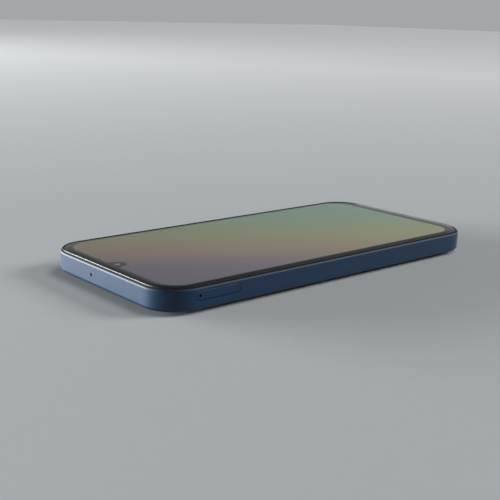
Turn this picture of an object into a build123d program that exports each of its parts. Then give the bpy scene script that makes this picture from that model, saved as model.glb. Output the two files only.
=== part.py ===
from build123d import *
import math
import os

# A smartphone with a flat side frame, as the separate pieces that it comes apart into.
# The origin is the centre of the rear cover's flat face. +Z points to the screen, +Y to
# the end with the front camera and -X to the side with the SIM tray. Sizes are in mm.

os.makedirs("parts", exist_ok=True)

# ---------------------------------------------------------------- driving dimensions

# Body outline and its height steps, from the rear face up
body_length = 160.1
body_width = 76.8
corner_radius = 12.8
rear_edge_radius = 1.3
cover_thickness = 0.8
cover_ledge_z = 0.9
plate_low_z = 6.1
plate_high_z = 6.55
panel_low_z = 6.65
panel_high_z = 7.7
glass_ledge_z = 7.65
glass_low_z = 7.75
rim_z = 7.95
glass_top_z = 8.4

# Steps of the side frame, measured in from its outer face
rim_radius = 0.8
rim_width = 0.86
cover_inset = 0.5
seam_gap = 0.05
glass_inset = 0.96
display_inset = 2.2
wall = 2.8
edge_break = 0.12

# Curved rim of the cover glass
glass_curve_width = 2.4
glass_curve_drop = 0.25
glass_curve_blend = 8.0
glass_edge_radius = 0.2

# Earpiece slot between the glass and the frame at the top end, and the small round notch
# of the light sensor beyond it
earpiece_slot_length = 20.0
earpiece_slot_depth = 0.15
sensor_notch_x = 11.3
sensor_notch_radius = 0.4

# Front camera, on the centre line under the screen's U-shaped notch
front_camera_y = 73.5
panel_notch_radius = 2.75

# Rear cameras, in a column, from the top down
camera_x = 25.0
camera_pitch = 15.5
camera_top_y = 66.0
ring_radius = 6.5
ring_height = 1.2
ring_lip = 0.25
window_radius = 5.4
window_thickness = 0.5
flash_centre = (12.5, 66.0)
flash_radius = 2.4

# Boards
board_low_z = 3.2
board_high_z = 4.0
board_edge_y = 33.5
sub_board_low_z = 3.45
sub_board_high_z = 4.05

# Battery
battery_width = 64.8
battery_low_y = -48.5
battery_high_y = 29.5
battery_low_z = 1.4
battery_high_z = 6.1

# Ports in the bottom end
port_z = 3.6
usb_width = 8.94
usb_height = 3.26
usb_wall = 0.3
usb_recess = 0.3
usb_length = 7.35
jack_x = -23.0
jack_bore_radius = 1.8
jack_collar_radius = 2.3
jack_bore_depth = 15.5
microphone_hole_radius = 0.5
bottom_microphone_x = -10.0
top_microphone_x = 7.0
top_microphone_z = 4.0
speaker_slot_count = 6
speaker_slot_pitch = 2.7
speaker_slot_x = 17.35
speaker_slot_length = 1.9
speaker_slot_height = 1.2
speaker_y_span = (-77.0, -60.8)
speaker_x_span = (9.5, 32.0)
microphone_y_span = (72.9, 75.4)
microphone_half_width = 1.8
microphone_height = 1.0

# Side keys
key_z = 4.2
key_height = 2.6
key_gap = 0.18
key_proud = 0.45
power_y = 20.0
power_length = 13.0
power_travel = 0.3
volume_y = 43.0
volume_length = 22.0
key_flange = 0.9
key_bracket_x = 33.55

# SIM tray and its ejector
tray_y = 57.75
tray_z = 5.05
tray_head_length = 19.1
tray_head_height = 3.1
tray_head_depth = 1.9
tray_gap = 0.12
tray_plate_low_y = 48.6
tray_plate_high_y = 64.9
tray_plate_thickness = 1.0
tray_inner_x = -9.9
rod_y = 65.7
rod_radius = 0.45
pin_hole_radius = 0.5
lever_y = 61.2
lever_arm = 4.5
lever_swing = 0.2
lever_tip_radius = 0.5
slack = 0.03

# Vibration motor
motor_centre = (27.0, -55.2)
motor_radius = 4.0
motor_low_z = 1.7
motor_height = 2.7
motor_wall = 0.2
motor_shaft_radius = 0.4

# Screws and the bosses that take them
screw_radius = 0.7
screw_length = 2.8
head_radius = 1.2
head_height = 0.35
key_socket_radius = 0.55
key_socket_depth = 0.22
boss_radius = 1.5
bracket_low_z = 1.0
bracket_high_z = 1.6
upper_screws = [
    (-30.5, 72.0),
    (31.2, 73.4),
    (15.5, 73.2),
    (-2.8, 45.0),
    (-32.2, 44.6),
    (16.0, 37.0),
    (31.6, 43.0),
]
lower_screws = [
    (-31.5, -72.5),
    (-16.5, -74.0),
    (7.0, -73.0),
    (-17.0, -56.5),
    (7.0, -56.5),
    (19.8, -56.0),
    (33.2, -57.5),
]

half_length = body_length / 2
half_width = body_width / 2
left_side = Plane.YZ.offset(-half_width)
right_side = Plane.YZ.offset(half_width)
bottom_end = Plane.XZ.offset(half_length)
top_end = Plane.XZ.offset(-half_length)

# ---------------------------------------------------------------- shared steps


def keep(piece, label):
    """Name a finished piece and write it to its own file."""
    piece.part.label = label
    export_step(piece.part, f"parts/{label}.step")


def outline(inset, mode=Mode.ADD):
    """Draw the rounded plan of the body, inside its edge by the inset."""
    width = body_width - 2 * inset
    length = body_length - 2 * inset
    RectangleRounded(width, length, corner_radius - inset, mode=mode)


def rectangle_between(x_low, x_high, y_low, y_high, radius=0.0):
    """Draw a rectangle from its two corners, with round corners where a radius is given."""
    with Locations(((x_low + x_high) / 2, (y_low + y_high) / 2)):
        if radius:
            RectangleRounded(x_high - x_low, y_high - y_low, radius)
        else:
            Rectangle(x_high - x_low, y_high - y_low)


def block(x_span, y_span, z_span):
    """Make an upright block from its spans along X, Y and Z."""
    with BuildPart() as piece:
        with BuildSketch(Plane.XY.offset(z_span[0])):
            rectangle_between(*x_span, *y_span)
        extrude(amount=z_span[1] - z_span[0])
    return piece


def can(x_span, y_span, z_span, thickness, opening):
    """Make a sheet-metal can over a block's spans, open on the side facing the opening axis."""
    with BuildPart() as piece:
        with BuildSketch(Plane.XY.offset(z_span[0])):
            rectangle_between(*x_span, *y_span, 1.0)
        extrude(amount=z_span[1] - z_span[0])
        open_face = piece.faces().sort_by(opening)[-1]
        offset(amount=-thickness, openings=open_face)
    return piece


def strip(x_span, points, thickness):
    """Make a flexible strip that follows points (y, z) and spans x."""
    upper = [(y, z + thickness) for y, z in reversed(points)]
    with BuildPart() as piece:
        with BuildSketch(Plane.YZ.offset(x_span[0])):
            with BuildLine():
                Polyline(*points, *upper, close=True)
            make_face()
        extrude(amount=x_span[1] - x_span[0])
    return piece


# ---------------------------------------------------------------- side frame

slot_span = (speaker_slot_count - 1) * speaker_slot_pitch
speaker_slots = [
    (speaker_slot_x - slot_span / 2 + i * speaker_slot_pitch, port_z)
    for i in range(speaker_slot_count)
]
tray_plate_y = (tray_plate_low_y + tray_plate_high_y) / 2
tray_plate_width = tray_plate_high_y - tray_plate_low_y
mesh_z = 7.3
mesh_thickness = 0.1
mesh_low_y = 78.2
mesh_high_y = 79.2
mesh_half_length = earpiece_slot_length / 2 + 0.4
channel_low_z = 5.0
channel_half_length = 9.6
channel_y_span = (78.3, 79.1)
channel_window_x = -7.2
channel_window_height = 1.0
channel_window_low_y = half_length - wall - 0.2
receiver_x_span = (-19.0, -7.0)
receiver_y_span = (69.6, 76.7)
receiver_low_z = 3.0
receiver_height = 2.9
receiver_step = 0.8

with BuildPart() as side_frame:
    with BuildSketch():
        outline(0)
    extrude(amount=rim_z)
    fillet(side_frame.faces().sort_by(Axis.Z)[0].edges(), rear_edge_radius)
    fillet(side_frame.faces().sort_by(Axis.Z)[-1].edges(), rim_radius)
    # Rear cover pocket, inner room, display room and glass pocket
    with BuildSketch():
        outline(cover_inset)
    extrude(amount=cover_ledge_z, mode=Mode.SUBTRACT)
    with BuildSketch(Plane.XY.offset(cover_ledge_z)):
        outline(wall)
    extrude(amount=plate_low_z - cover_ledge_z, mode=Mode.SUBTRACT)
    with BuildSketch(Plane.XY.offset(plate_low_z)):
        outline(display_inset)
    extrude(amount=glass_ledge_z - plate_low_z, mode=Mode.SUBTRACT)
    with BuildSketch(Plane.XY.offset(glass_ledge_z)):
        outline(rim_width)
    extrude(amount=rim_z - glass_ledge_z, mode=Mode.SUBTRACT)
    # SIM tray mouth: a pocket for the head, then the plate's passage and the rod's hole
    with BuildSketch(left_side):
        with Locations((tray_y, tray_z)):
            SlotOverall(tray_head_length + 2 * tray_gap, tray_head_height + 2 * tray_gap)
    extrude(amount=tray_head_depth + tray_gap, mode=Mode.SUBTRACT)
    with BuildSketch(left_side):
        with Locations((tray_plate_y, tray_z)):
            Rectangle(tray_plate_width + 2 * tray_gap, tray_plate_thickness + 2 * tray_gap)
        with Locations((rod_y, tray_z)):
            Circle(rod_radius + 0.05)
    extrude(amount=wall, mode=Mode.SUBTRACT)
    # Openings of the power key and the volume rocker
    with BuildSketch(right_side):
        with Locations((power_y, key_z)):
            SlotOverall(power_length + 2 * key_gap, key_height + 2 * key_gap)
        with Locations((volume_y, key_z)):
            SlotOverall(volume_length + 2 * key_gap, key_height + 2 * key_gap)
    extrude(amount=-wall, mode=Mode.SUBTRACT)
    # Ports, microphone hole and loudspeaker slots in the bottom end
    with BuildSketch(bottom_end):
        with Locations((0, port_z)):
            SlotOverall(usb_width + 2 * seam_gap, usb_height + 2 * seam_gap)
        with Locations((jack_x, port_z)):
            Circle(jack_collar_radius + seam_gap)
        with Locations((bottom_microphone_x, port_z)):
            Circle(microphone_hole_radius)
        with Locations(*speaker_slots):
            SlotOverall(speaker_slot_length, speaker_slot_height)
    extrude(amount=-wall, mode=Mode.SUBTRACT)
    # Microphone hole in the top end
    with BuildSketch(top_end):
        with Locations((top_microphone_x, top_microphone_z)):
            Circle(microphone_hole_radius)
    extrude(amount=wall, mode=Mode.SUBTRACT)
    # Break the outer edges of the openings
    outer_faces = [
        side_frame.faces().sort_by(Axis.X)[0],
        side_frame.faces().sort_by(Axis.X)[-1],
        side_frame.faces().sort_by(Axis.Y)[0],
        side_frame.faces().sort_by(Axis.Y)[-1],
    ]
    mouth_edges = [edge for face in outer_faces for wire in face.inner_wires() for edge in wire.edges()]
    chamfer(mouth_edges, edge_break)
    # Seat of the earpiece mesh, its sound channel and the channel's window to the receiver
    with BuildSketch(Plane.XY.offset(mesh_z)):
        rectangle_between(
            -mesh_half_length - seam_gap,
            mesh_half_length + seam_gap,
            mesh_low_y - seam_gap,
            mesh_high_y + seam_gap,
        )
    extrude(amount=glass_ledge_z - mesh_z, mode=Mode.SUBTRACT)
    with BuildSketch(Plane.XY.offset(channel_low_z)):
        rectangle_between(-channel_half_length, channel_half_length, *channel_y_span)
    extrude(amount=mesh_z - channel_low_z, mode=Mode.SUBTRACT)
    with BuildSketch(Plane.XY.offset(channel_low_z)):
        rectangle_between(
            -channel_half_length,
            channel_window_x,
            channel_window_low_y,
            channel_y_span[1],
        )
    extrude(amount=channel_window_height, mode=Mode.SUBTRACT)
keep(side_frame, "side_frame")

# ---------------------------------------------------------------- covers and their bonds

camera_centres = {
    "upper": (camera_x, camera_top_y),
    "middle": (camera_x, camera_top_y - camera_pitch),
    "lower": (camera_x, camera_top_y - 2 * camera_pitch),
}

with BuildPart() as rear_cover:
    with BuildSketch():
        outline(0)
    extrude(amount=2 * rear_edge_radius)
    fillet(rear_cover.faces().sort_by(Axis.Z)[0].edges(), rear_edge_radius)
    with BuildSketch():
        outline(cover_inset + seam_gap)
    extrude(amount=cover_thickness, mode=Mode.INTERSECT)
    with BuildSketch():
        with Locations(*camera_centres.values()):
            Circle(ring_radius + seam_gap)
        with Locations(flash_centre):
            Circle(flash_radius + seam_gap)
    extrude(amount=cover_thickness, mode=Mode.SUBTRACT)
keep(rear_cover, "rear_cover")

with BuildPart() as rear_cover_adhesive:
    with BuildSketch(Plane.XY.offset(cover_thickness)):
        outline(cover_inset + 0.3)
        outline(wall - 0.3, Mode.SUBTRACT)
    extrude(amount=cover_ledge_z - cover_thickness)
keep(rear_cover_adhesive, "rear_cover_adhesive")

with BuildPart() as cover_glass:
    with BuildSketch(Plane.XY.offset(glass_low_z)):
        outline(glass_inset)
    extrude(amount=glass_top_z - glass_low_z)
    glass_top = cover_glass.faces().sort_by(Axis.Z)[-1]
    chamfer(glass_top.edges(), length=glass_curve_width, length2=glass_curve_drop, reference=glass_top)
    fillet(cover_glass.faces().sort_by(Axis.Z)[-1].edges(), glass_curve_blend)
    wall_top_z = glass_top_z - glass_curve_drop
    crease = [edge for edge in cover_glass.edges() if abs(edge.center().Z - wall_top_z) < 0.01]
    fillet(crease, glass_edge_radius)
    with BuildSketch(Plane.XY.offset(glass_low_z)):
        with Locations((0, half_length - glass_inset)):
            Rectangle(earpiece_slot_length, 2 * earpiece_slot_depth)
        with Locations((sensor_notch_x, half_length - glass_inset)):
            Circle(sensor_notch_radius)
    extrude(amount=glass_top_z - glass_low_z, mode=Mode.SUBTRACT)
keep(cover_glass, "cover_glass")

with BuildPart() as display_adhesive:
    with BuildSketch(Plane.XY.offset(glass_ledge_z)):
        outline(glass_inset + 0.2)
        outline(display_inset - 0.2, Mode.SUBTRACT)
        with Locations((0, half_length)):
            Rectangle(2 * mesh_half_length + 0.4, 2 * display_inset, mode=Mode.SUBTRACT)
    extrude(amount=glass_low_z - glass_ledge_z)
keep(display_adhesive, "display_adhesive")

# ---------------------------------------------------------------- display

with BuildPart() as display_panel:
    with BuildSketch(Plane.XY.offset(panel_low_z)):
        outline(display_inset + 0.3)
        with Locations((0, front_camera_y)):
            Circle(panel_notch_radius, mode=Mode.SUBTRACT)
        with Locations((0, (front_camera_y + half_length) / 2)):
            notch_depth = half_length - front_camera_y
            Rectangle(2 * panel_notch_radius, notch_depth, mode=Mode.SUBTRACT)
    extrude(amount=panel_high_z - panel_low_z)
keep(display_panel, "display_panel")

flex_thickness = 0.12
flex_slot_y = -58.0
display_flex_points = [
    (-70.0, panel_low_z - flex_thickness),
    (flex_slot_y - 0.6, panel_low_z - flex_thickness),
    (flex_slot_y + 0.3, plate_low_z - 0.6),
    (-54.4, 4.7),
    (-53.4, 4.7),
]
display_flex = strip((-12.0, 4.0), display_flex_points, flex_thickness)
keep(display_flex, "display_flex")

# ---------------------------------------------------------------- mid plate

with BuildPart() as mid_plate:
    with BuildSketch(Plane.XY.offset(plate_low_z)):
        outline(display_inset + 0.02)
        with Locations((0, front_camera_y)):
            Circle(2.6, mode=Mode.SUBTRACT)
        with Locations((-4.0, flex_slot_y)):
            RectangleRounded(17.0, 3.4, 1.0, mode=Mode.SUBTRACT)
    extrude(amount=plate_high_z - plate_low_z)
    with BuildSketch(Plane.XY.offset(bracket_high_z)):
        with Locations(*upper_screws, *lower_screws):
            Circle(boss_radius)
    extrude(amount=plate_low_z - bracket_high_z)
    with BuildSketch(Plane.XY.offset(bracket_high_z)):
        with Locations(*upper_screws, *lower_screws):
            Circle(screw_radius + 0.02)
    extrude(amount=screw_length + 0.3, mode=Mode.SUBTRACT)
    # Shallow trough where the display's own flexible strip lies
    with BuildSketch(Plane.XY.offset(plate_high_z)):
        rectangle_between(-12.5, 4.5, -70.5, flex_slot_y)
    extrude(amount=-0.1, mode=Mode.SUBTRACT)
keep(mid_plate, "mid_plate")

# ---------------------------------------------------------------- brackets and screws


def bracket_plate(y_span, right_x, windows, screws):
    """Make a bracket that covers a span of Y, with windows and counterbored screw holes."""
    with BuildPart() as piece:
        with BuildSketch(Plane.XY.offset(bracket_low_z)):
            outline(wall + 0.3)
        extrude(amount=bracket_high_z - bracket_low_z)
        with BuildSketch(Plane.XY.offset(bracket_low_z)):
            rectangle_between(-half_width, right_x, *y_span)
        extrude(amount=bracket_high_z - bracket_low_z, mode=Mode.INTERSECT)
        with BuildSketch(Plane.XY.offset(bracket_low_z)):
            for window in windows:
                rectangle_between(*window, 0.8)
            with Locations(*screws):
                Circle(screw_radius + 0.1)
        extrude(amount=bracket_high_z - bracket_low_z, mode=Mode.SUBTRACT)
        with BuildSketch(Plane.XY.offset(bracket_low_z)):
            with Locations(*screws):
                Circle(head_radius + 0.05)
        extrude(amount=head_height, mode=Mode.SUBTRACT)
    return piece


def window_around(centre, half_size):
    """Give the corners of a square window around a centre."""
    x, y = centre
    return (x - half_size, x + half_size, y - half_size, y + half_size)


upper_bracket = bracket_plate(
    (board_edge_y, half_length),
    33.2,
    [window_around(centre, 5.5) for centre in camera_centres.values()]
    + [window_around(flash_centre, 2.6)],
    upper_screws,
)
keep(upper_bracket, "upper_bracket")

lower_bracket = bracket_plate(
    (-half_length, -51.8),
    half_width,
    [(jack_x - 3.4, jack_x + 3.4, -half_length, -61.5)],
    lower_screws,
)
keep(lower_bracket, "lower_bracket")

with BuildPart() as screws:
    with BuildSketch(Plane.XY.offset(bracket_low_z)):
        with Locations(*upper_screws, *lower_screws):
            Circle(head_radius)
    extrude(amount=head_height)
    chamfer(screws.faces().filter_by(Axis.Z).group_by(Axis.Z)[0].edges(), 0.1)
    with BuildSketch(Plane.XY.offset(bracket_low_z)):
        with Locations(*upper_screws, *lower_screws):
            RegularPolygon(key_socket_radius, 6)
    extrude(amount=key_socket_depth, mode=Mode.SUBTRACT)
    with BuildSketch(Plane.XY.offset(bracket_low_z + head_height)):
        with Locations(*upper_screws, *lower_screws):
            Circle(screw_radius)
    extrude(amount=screw_length)
keep(screws, "screws")

# ---------------------------------------------------------------- boards and their parts

sim_socket_span = ((-35.3, -5.5), (47.9, 68.0), (board_high_z, 5.95))

with BuildPart() as main_board:
    with BuildSketch(Plane.XY.offset(board_low_z)):
        outline(wall + 0.6)
    extrude(amount=board_high_z - board_low_z)
    with BuildSketch(Plane.XY.offset(board_low_z)):
        rectangle_between(-half_width, 33.2, board_edge_y, half_length)
    extrude(amount=board_high_z - board_low_z, mode=Mode.INTERSECT)
    with BuildSketch(Plane.XY.offset(board_low_z)):
        for centre in camera_centres.values():
            rectangle_between(*window_around(centre, 5.6), 0.8)
        rectangle_between(-19.3, -6.7, 69.2, half_length)
        rectangle_between(-3.6, 3.6, 69.8, half_length)
        with Locations(*upper_screws):
            Circle(boss_radius + 0.2)
    extrude(amount=board_high_z - board_low_z, mode=Mode.SUBTRACT)
keep(main_board, "main_board")

with BuildPart() as sub_board:
    with BuildSketch(Plane.XY.offset(sub_board_low_z)):
        rectangle_between(-19.4, 8.8, -76.8, -52.4)
        rectangle_between(-34.8, 8.8, -60.6, -52.4)
        rectangle_between(-34.8, 20.0, -58.4, -52.4)
        with Locations((0, -77.0)):
            Rectangle(usb_width + 0.3, 9.5, mode=Mode.SUBTRACT)
        with Locations(*lower_screws):
            Circle(boss_radius + 0.2, mode=Mode.SUBTRACT)
    extrude(amount=sub_board_high_z - sub_board_low_z)
keep(sub_board, "sub_board")

processor_shield = can((-31.0, -6.0), (48.5, 68.5), (1.7, board_low_z), 0.15, Axis.Z)
keep(processor_shield, "processor_shield")

radio_shield = can((0.0, 17.0), (40.5, 61.5), (1.7, board_low_z), 0.15, Axis.Z)
keep(radio_shield, "radio_shield")

power_shield = can((0.5, 17.5), (41.0, 67.0), (board_high_z, 5.4), 0.15, -Axis.Z)
keep(power_shield, "power_shield")

with BuildPart() as microphones:
    with BuildSketch(Plane.XY.offset(board_high_z)):
        rectangle_between(
            top_microphone_x - microphone_half_width,
            top_microphone_x + microphone_half_width,
            *microphone_y_span,
        )
    extrude(amount=microphone_height)
    with BuildSketch(Plane.XY.offset(sub_board_high_z)):
        rectangle_between(
            bottom_microphone_x - microphone_half_width,
            bottom_microphone_x + microphone_half_width,
            -microphone_y_span[1],
            -microphone_y_span[0],
        )
    extrude(amount=microphone_height)
keep(microphones, "microphones")

boot_width = 3.4
boot_bore_radius = 0.35
boot_length = half_length - wall - microphone_y_span[1]

with BuildPart() as microphone_boots:
    with BuildSketch(top_end.offset(wall)):
        with Locations((top_microphone_x, top_microphone_z + 0.55)):
            Rectangle(boot_width, 1.0)
            Circle(boot_bore_radius, mode=Mode.SUBTRACT)
    extrude(amount=boot_length)
    with BuildSketch(bottom_end.offset(-wall)):
        with Locations((bottom_microphone_x, sub_board_high_z + 0.5)):
            Rectangle(boot_width, 0.9)
            Circle(boot_bore_radius, mode=Mode.SUBTRACT)
    extrude(amount=-boot_length)
keep(microphone_boots, "microphone_boots")

# ---------------------------------------------------------------- ports in the bottom end

usb_mouth = bottom_end.offset(-usb_recess)

with BuildPart() as usb_c_shell:
    with BuildSketch(usb_mouth):
        with Locations((0, port_z)):
            SlotOverall(usb_width, usb_height)
    extrude(amount=-usb_length)
    with BuildSketch(usb_mouth):
        with Locations((0, port_z)):
            SlotOverall(usb_width - 2 * usb_wall, usb_height - 2 * usb_wall)
    extrude(amount=-(usb_length - usb_wall), mode=Mode.SUBTRACT)
keep(usb_c_shell, "usb_c_shell")

tongue_thickness = 0.7
tongue_width = 6.7
tongue_tip_y = -half_length + usb_recess + 1.25
tongue_root_y = -half_length + usb_recess + usb_length - usb_wall

with BuildPart() as usb_c_tongue:
    with BuildSketch(Plane.XZ.offset(-tongue_root_y)):
        with Locations((0, port_z)):
            SlotOverall(usb_width - 2 * usb_wall - 0.04, usb_height - 2 * usb_wall - 0.04)
    extrude(amount=1.3)
    with BuildSketch(Plane.XZ.offset(-tongue_root_y)):
        with Locations((0, port_z)):
            Rectangle(tongue_width, tongue_thickness)
    extrude(amount=tongue_root_y - tongue_tip_y)
    chamfer(usb_c_tongue.faces().sort_by(Axis.Y)[0].edges().filter_by(Axis.X), 0.15)
keep(usb_c_tongue, "usb_c_tongue")

contact_thickness = 0.05
contact_sites = [(-2.75 + 0.5 * i, tongue_tip_y + 2.3) for i in range(12)]

with BuildPart() as usb_c_contacts:
    for low_z in (
        port_z + tongue_thickness / 2,
        port_z - tongue_thickness / 2 - contact_thickness,
    ):
        with BuildSketch(Plane.XY.offset(low_z)):
            with Locations(*contact_sites):
                Rectangle(0.25, 4.0)
        extrude(amount=contact_thickness)
keep(usb_c_contacts, "usb_c_contacts")

jack_body_depth = 14.6
jack_recess = 0.25

with BuildPart() as headphone_jack:
    with BuildSketch(bottom_end.offset(-wall - 0.05)):
        with Locations((jack_x, port_z)):
            RectangleRounded(6.2, 4.5, 0.4)
    extrude(amount=-jack_body_depth)
    with BuildSketch(bottom_end.offset(-jack_recess)):
        with Locations((jack_x, port_z)):
            Circle(jack_collar_radius)
    extrude(amount=-(wall - jack_recess + seam_gap))
    chamfer(headphone_jack.faces().sort_by(Axis.Y)[0].edges(), 0.15)
    with BuildSketch(bottom_end.offset(-jack_recess)):
        with Locations((jack_x, port_z)):
            Circle(jack_bore_radius)
    extrude(amount=-jack_bore_depth, mode=Mode.SUBTRACT)
keep(headphone_jack, "headphone_jack")

# ---------------------------------------------------------------- sound and vibration

with BuildPart() as loudspeaker:
    with BuildSketch(Plane.XY.offset(bracket_high_z + 0.05)):
        rectangle_between(*speaker_x_span, *speaker_y_span)
    extrude(amount=5.85 - bracket_high_z)
    # Round the corner that lies in the frame's own corner, and the one opposite
    upright = loudspeaker.edges().filter_by(Axis.Z)
    fillet(upright.sort_by_distance((speaker_x_span[1], speaker_y_span[0], port_z))[0], 9.0)
    fillet(upright.sort_by_distance((speaker_x_span[0], speaker_y_span[1], port_z))[0], 1.5)
    # Sound outlet, facing the mesh
    with BuildSketch(Plane.XZ.offset(-speaker_y_span[0])):
        with Locations((speaker_slot_x, port_z)):
            Rectangle(11.0, 1.6)
    extrude(amount=-3.0, mode=Mode.SUBTRACT)
keep(loudspeaker, "loudspeaker")

with BuildPart() as speaker_mesh:
    with BuildSketch(bottom_end.offset(-wall)):
        with Locations((speaker_slot_x, port_z)):
            Rectangle(slot_span + 2.6, 2.4)
    extrude(amount=-0.12)
keep(speaker_mesh, "speaker_mesh")

with BuildPart() as motor_can:
    with BuildSketch(Plane.XY.offset(motor_low_z + motor_wall)):
        with Locations(motor_centre):
            Circle(motor_radius)
    extrude(amount=motor_height - motor_wall)
    fillet(motor_can.faces().sort_by(Axis.Z)[-1].edges(), 0.3)
    with BuildSketch(Plane.XY.offset(motor_low_z + motor_wall)):
        with Locations(motor_centre):
            Circle(motor_radius - motor_wall)
    extrude(amount=motor_height - 2 * motor_wall, mode=Mode.SUBTRACT)
keep(motor_can, "motor_can")

with BuildPart() as motor_base:
    with BuildSketch(Plane.XY.offset(motor_low_z)):
        with Locations(motor_centre):
            Circle(motor_radius)
    extrude(amount=motor_wall)
    with BuildSketch(Plane.XY.offset(motor_low_z + motor_wall)):
        with Locations(motor_centre):
            Circle(motor_shaft_radius)
    extrude(amount=motor_height - 2 * motor_wall)
keep(motor_base, "motor_base")

with BuildPart() as motor_rotor:
    with BuildSketch(Plane.XY.offset(motor_low_z + motor_wall + 0.3)):
        with Locations(motor_centre):
            Circle(motor_radius - motor_wall - 0.25)
        with Locations((motor_centre[0], motor_centre[1] - motor_radius)):
            Rectangle(2 * motor_radius, 2 * motor_radius - 1.6, mode=Mode.SUBTRACT)
        with Locations(motor_centre):
            Circle(1.0)
            Circle(motor_shaft_radius + 0.05, mode=Mode.SUBTRACT)
    extrude(amount=motor_height - 2 * motor_wall - 0.6)
keep(motor_rotor, "motor_rotor")

with BuildPart() as earpiece_receiver:
    with BuildSketch(Plane.XY.offset(receiver_low_z)):
        rectangle_between(*receiver_x_span, *receiver_y_span, 1.0)
    extrude(amount=receiver_height)
    with BuildSketch(Plane.XY.offset(receiver_low_z + receiver_height)):
        rectangle_between(
            receiver_x_span[0] + receiver_step,
            receiver_x_span[1] - receiver_step,
            receiver_y_span[0] + receiver_step,
            receiver_y_span[1] - receiver_step,
            1.0,
        )
    extrude(amount=0.15)
keep(earpiece_receiver, "earpiece_receiver")

with BuildPart() as earpiece_mesh:
    with BuildSketch(Plane.XY.offset(mesh_z)):
        rectangle_between(-mesh_half_length, mesh_half_length, mesh_low_y, mesh_high_y)
    extrude(amount=mesh_thickness)
keep(earpiece_mesh, "earpiece_mesh")

# ---------------------------------------------------------------- battery and flexible strips

half_battery = battery_width / 2

with BuildPart() as battery:
    with BuildSketch(Plane.XY.offset(battery_low_z)):
        rectangle_between(-half_battery, half_battery, battery_low_y, battery_high_y, 2.0)
    extrude(amount=battery_high_z - battery_low_z)
    fillet(battery.faces().filter_by(Axis.Z).edges(), 0.8)
keep(battery, "battery")

battery_protection_board = block((-28.0, 10.0), (battery_high_y, 32.6), (3.2, 4.2))
keep(battery_protection_board, "battery_protection_board")

main_flex_points = [
    (-56.5, sub_board_low_z - 0.15),
    (-53.0, sub_board_low_z - 0.15),
    (-50.0, battery_low_z - 0.2),
    (31.0, battery_low_z - 0.2),
    (34.5, board_low_z - 0.15),
    (39.0, board_low_z - 0.15),
]
main_flex = strip((-14.0, -4.0), main_flex_points, 0.15)
keep(main_flex, "main_flex")

coax_points = [
    (-33.2, -54.0, 4.5),
    (-34.2, -50.0, 4.5),
    (-34.2, 30.0, 4.5),
    (-33.0, 36.0, 4.5),
    (-33.0, 40.5, 4.5),
]

with BuildPart() as antenna_coax:
    with BuildLine() as coax_path:
        FilletPolyline(*coax_points, radius=3.0)
    with BuildSketch(Plane(coax_path.line @ 0, z_dir=coax_path.line % 0)):
        Circle(0.4)
    sweep()
    with BuildSketch(Plane.XY.offset(sub_board_high_z)):
        with Locations(coax_points[0][:2]):
            Circle(1.1)
    extrude(amount=1.0)
    with BuildSketch(Plane.XY.offset(board_high_z)):
        with Locations(coax_points[-1][:2]):
            Circle(1.1)
    extrude(amount=1.0)
keep(antenna_coax, "antenna_coax")

# ---------------------------------------------------------------- cameras and flash

flange_high_z = bracket_low_z


def camera_ring(centre):
    """Make the raised metal ring round a camera, with the seat for its window."""
    bore_radius = window_radius + seam_gap
    with BuildPart() as ring:
        with BuildSketch(Plane.XY.offset(-ring_height)):
            with Locations(centre):
                Circle(ring_radius)
        extrude(amount=ring_height + cover_thickness)
        fillet(ring.faces().sort_by(Axis.Z)[0].edges(), 0.35)
        with BuildSketch(Plane.XY.offset(cover_thickness)):
            with Locations(centre):
                Circle(ring_radius + 0.6)
        extrude(amount=flange_high_z - cover_thickness)
        with BuildSketch(Plane.XY.offset(-ring_height)):
            with Locations(centre):
                Circle(window_radius - 0.4)
        extrude(amount=ring_height + flange_high_z, mode=Mode.SUBTRACT)
        with BuildSketch(Plane.XY.offset(-ring_height + ring_lip)):
            with Locations(centre):
                Circle(bore_radius)
        extrude(amount=ring_height + flange_high_z, mode=Mode.SUBTRACT)
    return ring


def camera_window(centre):
    """Make the round glass that closes a camera ring."""
    with BuildPart() as window:
        with BuildSketch(Plane.XY.offset(-ring_height + ring_lip)):
            with Locations(centre):
                Circle(window_radius)
        extrude(amount=window_thickness)
    return window


for place, centre in camera_centres.items():
    keep(camera_ring(centre), f"{place}_camera_ring")
    keep(camera_window(centre), f"{place}_camera_window")

barrel_radius = 3.42
barrel_gap = 0.08
barrel_low_z = 0.5
barrel_high_z = 3.4
camera_body_z = 1.1

with BuildPart() as main_camera:
    with BuildSketch(Plane.XY.offset(camera_body_z)):
        rectangle_between(*window_around(camera_centres["upper"], 5.2), 0.8)
    extrude(amount=4.8)
    with BuildSketch(Plane.XY.offset(camera_body_z)):
        with Locations(camera_centres["upper"]):
            Circle(barrel_radius + barrel_gap)
    extrude(amount=barrel_high_z + 0.3 - camera_body_z, mode=Mode.SUBTRACT)
keep(main_camera, "main_camera")

with BuildPart() as focus_barrel:
    with BuildSketch(Plane.XY.offset(barrel_low_z)):
        with Locations(camera_centres["upper"]):
            Circle(barrel_radius)
    extrude(amount=barrel_high_z - barrel_low_z)
    with BuildSketch(Plane.XY.offset(barrel_low_z)):
        with Locations(camera_centres["upper"]):
            Circle(1.9)
    extrude(amount=0.8, taper=30, mode=Mode.SUBTRACT)
    chamfer(focus_barrel.faces().sort_by(Axis.Z)[0].outer_wire().edges(), 0.2)
keep(focus_barrel, "focus_barrel")


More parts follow.
